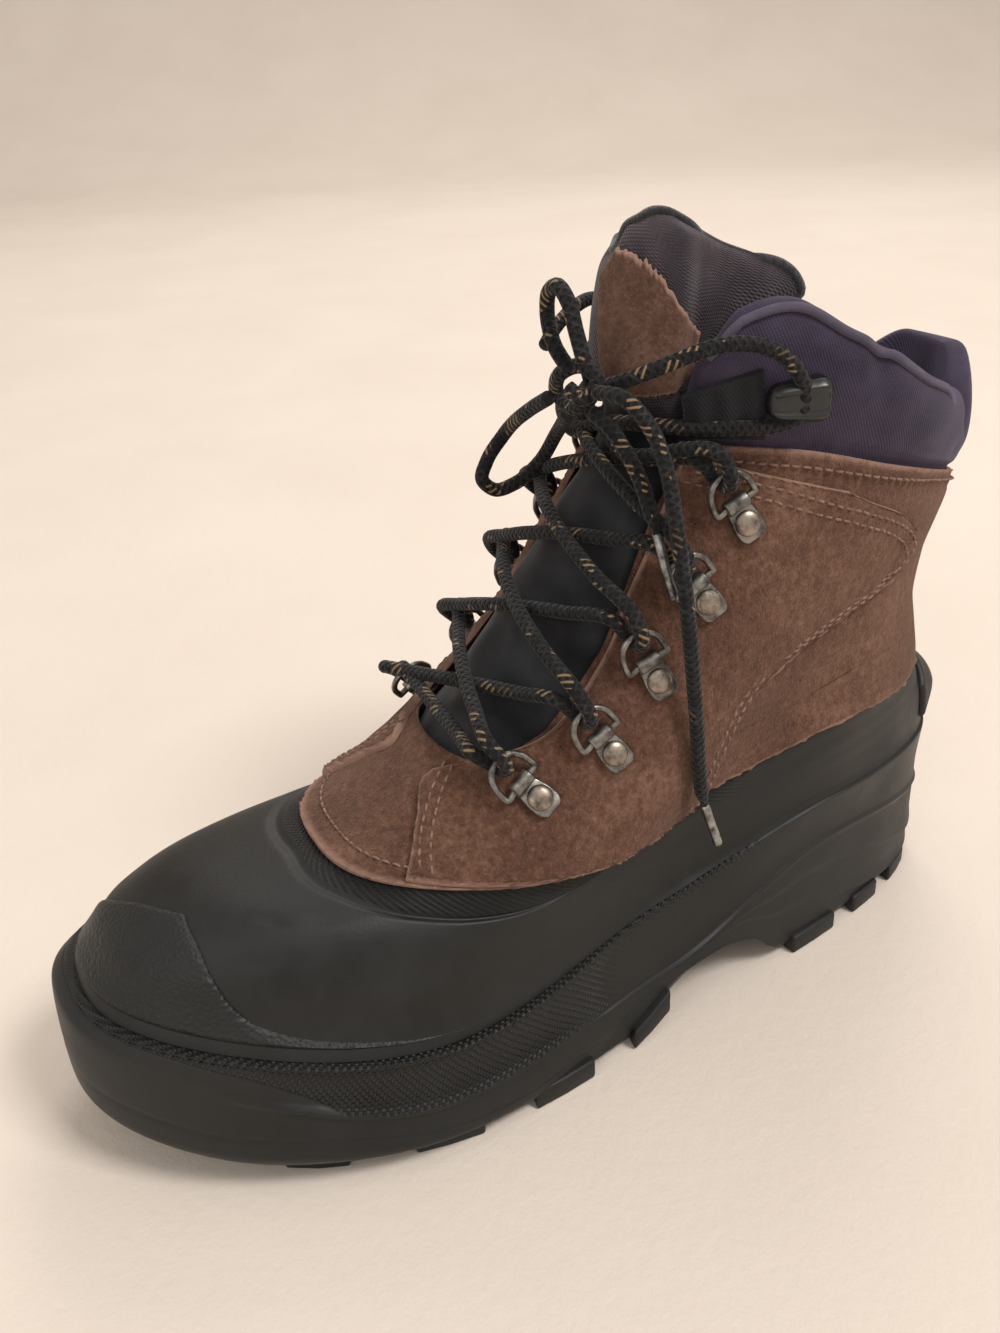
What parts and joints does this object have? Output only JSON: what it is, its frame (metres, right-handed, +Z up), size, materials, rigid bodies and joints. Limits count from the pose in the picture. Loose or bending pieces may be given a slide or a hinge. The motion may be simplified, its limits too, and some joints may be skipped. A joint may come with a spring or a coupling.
{
  "type": "pac boot",
  "caption": "Left ankle-high pac boot with a moulded rubber bottom and shell, suede upper, padded collar and tongue, and a lace tied through metal rings.",
  "frame": {"origin": "on the ground under the middle of the boot's outline, without the free lace", "axes": "+Z up, toe toward -Y, heel toward +Y, outer (lateral) side toward +X"},
  "size_m": [0.118, 0.3238, 0.2538],
  "materials": {
    "rubber": "matte moulded",
    "suede": "nubuck, matte",
    "nylon": "ribbed nylon",
    "fleece": "brushed fleece",
    "pewter": "antique pewter",
    "plastic": "ribbed, matte",
    "lace_cloth": "round braid"
  },
  "bodies": {
    "root": {"sole": "rubber", "insole": "fleece", "shell": "rubber", "toe_cap": "rubber", "heel_tab": "rubber", "upper": "suede", "quarter_lateral": "suede", "quarter_medial": "suede", "collar": "nylon", "tongue": "nylon", "tongue_patch": "suede", "clip_lateral_1": "pewter", "ring_lateral_1": "pewter", "clip_lateral_2": "pewter", "ring_lateral_2": "pewter", "clip_lateral_3": "pewter", "ring_lateral_3": "pewter", "clip_lateral_4": "pewter", "ring_lateral_4": "pewter", "clip_lateral_5": "pewter", "ring_lateral_5": "pewter", "clip_medial_1": "pewter", "ring_medial_1": "pewter", "clip_medial_2": "pewter", "ring_medial_2": "pewter", "clip_medial_3": "pewter", "ring_medial_3": "pewter", "clip_medial_4": "pewter", "ring_medial_4": "pewter", "clip_medial_5": "pewter", "ring_medial_5": "pewter", "strap_lateral": "lace_cloth", "keeper_lateral": "plastic", "strap_medial": "lace_cloth", "keeper_medial": "plastic", "lace_crossings": "lace_cloth", "lace_knot": "lace_cloth", "lace_loop_a": "lace_cloth", "lace_loop_b": "lace_cloth", "lace_end_a": "lace_cloth", "lace_end_b": "lace_cloth"}
  },
  "joints": []
}
